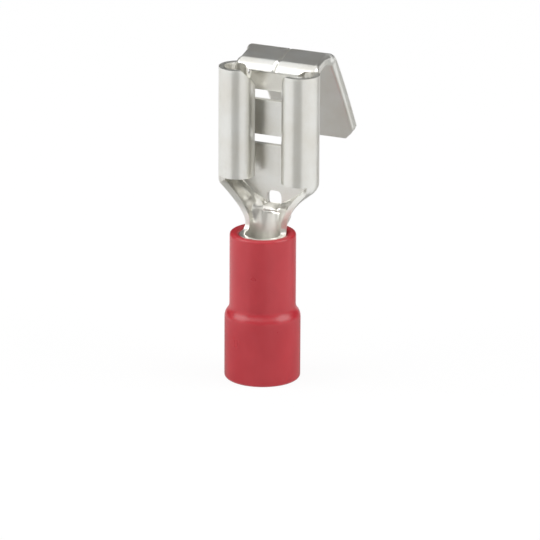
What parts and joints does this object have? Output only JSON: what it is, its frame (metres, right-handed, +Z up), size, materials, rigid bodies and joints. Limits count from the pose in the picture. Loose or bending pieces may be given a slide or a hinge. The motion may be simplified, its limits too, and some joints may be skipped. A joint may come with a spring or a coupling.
{
  "type": "piggyback spade terminal",
  "caption": "Insulated piggyback spade terminal: rolled female receptacle, folded male blade turned down behind it, and a crimp barrel in a stepped plastic sleeve.",
  "frame": {"origin": "centre of the wire entry at the sleeve's foot", "axes": "+Z up the wire axis from the sleeve to the receptacle, +Y towards the spare blade, +X across the receptacle"},
  "size_m": [0.0076, 0.0132, 0.0231],
  "materials": {
    "tin_plated_brass": "satin tin plate over stamped sheet brass",
    "red_pvc": "moulded soft PVC, half gloss"
  },
  "bodies": {
    "root": {"terminal": "tin_plated_brass", "insulating_sleeve": "red_pvc"}
  },
  "joints": []
}
